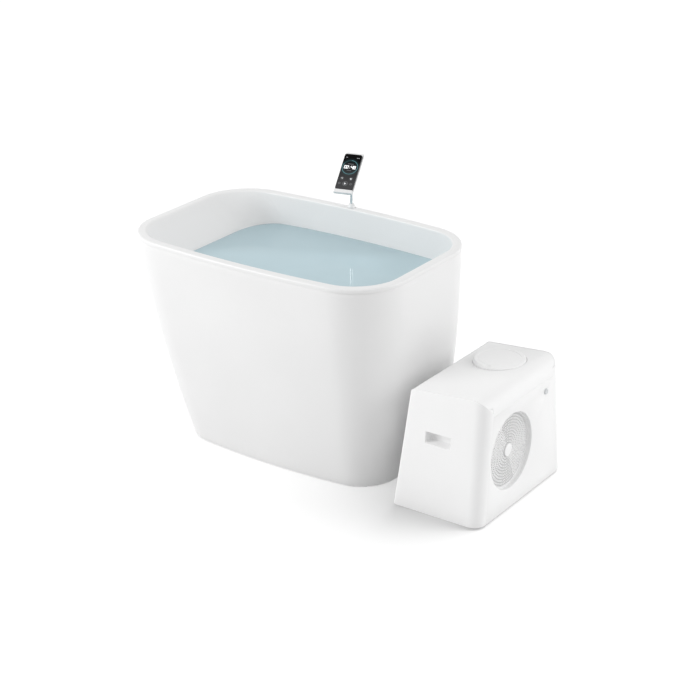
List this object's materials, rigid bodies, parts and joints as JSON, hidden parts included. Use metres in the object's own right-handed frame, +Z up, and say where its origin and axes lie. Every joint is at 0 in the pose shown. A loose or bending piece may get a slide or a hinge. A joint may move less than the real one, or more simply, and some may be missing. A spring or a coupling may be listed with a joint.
{
  "type": "cold plunge tub",
  "caption": "White rounded insulated plunge tub with a free-standing water chiller at its end and a tilting control handset on a chrome rim post.",
  "frame": {"origin": "On the floor, under the middle of the tub rim, on the underside of the base board.", "axes": "+X runs along the tub towards the chiller and is the longest extent, +Y towards the rim that carries the handset post, +Z up."},
  "size_m": [1.4987, 0.7763, 0.9641],
  "materials": {
    "white_gloss": "smooth white moulded shell",
    "white_case": "fine satin white",
    "foam": "closed-cell foam",
    "board": "dark flat board",
    "grey_plastic": "grey moulded plastic",
    "dark_plastic": "dark moulded plastic",
    "rubber": "black rubber",
    "chrome": "polished chrome",
    "steel": "brushed steel",
    "aluminium": "thin fins",
    "copper": "drawn copper tube",
    "black_paint": "black enamel",
    "screen": "dark glass screen",
    "paper": "pleated filter sheet",
    "blue_plastic": "blue moulded lever"
  },
  "bodies": {
    "tub": {"outer_shell": "white_gloss", "inner_basin": "white_gloss", "suction_fitting": "white_gloss", "return_fitting": "white_gloss", "post_base": "white_gloss", "near_end_panel": "white_case", "far_end_panel": "white_case", "front_panel": "white_case", "back_panel": "white_case", "top_cover": "white_case", "fan_grille": "white_case", "grille_hub": "white_case", "fan_shroud": "white_case", "insulation_core": "foam", "base_board": "board", "suction_nut": "grey_plastic", "return_nut": "grey_plastic", "drain_pipe": "grey_plastic", "drain_valve_body": "grey_plastic", "filter_pot": "grey_plastic", "control_box": "grey_plastic", "water_inlet_port": "grey_plastic", "water_outlet_port": "grey_plastic", "inlet_pipe": "grey_plastic", "pump_riser": "grey_plastic", "filter_outlet_pipe": "grey_plastic", "pump_housing": "dark_plastic", "power_inlet": "dark_plastic", "foot_near_back": "rubber", "foot_near_front": "rubber", "foot_far_back": "rubber", "foot_far_front": "rubber", "compressor_mount_1": "rubber", "compressor_mount_2": "rubber", "compressor_mount_3": "rubber", "drain_strainer": "steel", "base_pan": "steel", "motor_bracket": "steel", "evaporator": "steel", "condenser": "aluminium", "discharge_line": "copper", "liquid_line": "copper", "suction_line": "copper", "fan_motor": "black_paint", "compressor": "black_paint", "pump_motor": "black_paint", "filter_cartridge": "paper"},
    "drain_valve": {"drain_valve_ball": "steel", "drain_valve_lever": "blue_plastic"},
    "display_post": {"display_post": "chrome"},
    "cradle": {"cradle_tray": "white_gloss", "tilt_pin": "steel"},
    "handset": {"handset_body": "dark_plastic", "handset_glass": "screen"},
    "handset_key": {"handset_key": "dark_plastic"},
    "fan_rotor": {"fan_rotor": "dark_plastic"},
    "pump_impeller": {"pump_impeller": "grey_plastic"},
    "filter_cap": {"filter_cap": "white_case"},
    "power_button": {"power_button": "grey_plastic"}
  },
  "joints": [
    {"name": "drain_valve_turn", "type": "hinge", "parent": "tub", "child": "drain_valve", "pos_m": [0.55705, 0.15, 0.042], "axis": [0, 0, -1], "range_deg": [0, 90]},
    {"name": "post_swivel", "type": "hinge", "parent": "tub", "child": "display_post", "pos_m": [-0.015, 0.35597, 0.8], "axis": [0, 0, 1], "range_deg": [-90, 90]},
    {"name": "cradle_tilt", "type": "hinge", "parent": "display_post", "child": "cradle", "pos_m": [-0.015, 0.35597, 0.914], "axis": [0.9659, 0.2588, 0], "range_deg": [-35, 25]},
    {"name": "handset_lift", "type": "slide", "parent": "cradle", "child": "handset", "axis": [-0.1983, 0.7399, 0.6428], "range_m": [0, 0.14]},
    {"name": "handset_key_press", "type": "slide", "parent": "handset", "child": "handset_key", "axis": [-0.9659, -0.2588, 0], "range_m": [0, 0.0006], "stiffness_N_per_m": 400},
    {"name": "fan_turn", "type": "hinge", "parent": "tub", "child": "fan_rotor", "pos_m": [0.898, -0.085, 0.217], "axis": [1, 0, 0], "continuous": true},
    {"name": "impeller_turn", "type": "hinge", "parent": "tub", "child": "pump_impeller", "pos_m": [0.871, 0.115, 0.08], "axis": [0, 1, 0], "continuous": true},
    {"name": "filter_cap_twist", "type": "hinge", "parent": "tub", "child": "filter_cap", "pos_m": [0.785, 0.093, 0.44], "axis": [0, 0, 1], "range_deg": [0, 60]},
    {"name": "power_button_press", "type": "slide", "parent": "tub", "child": "power_button", "axis": [-1, 0, 0], "range_m": [0, 0.0025], "stiffness_N_per_m": 400}
  ]
}
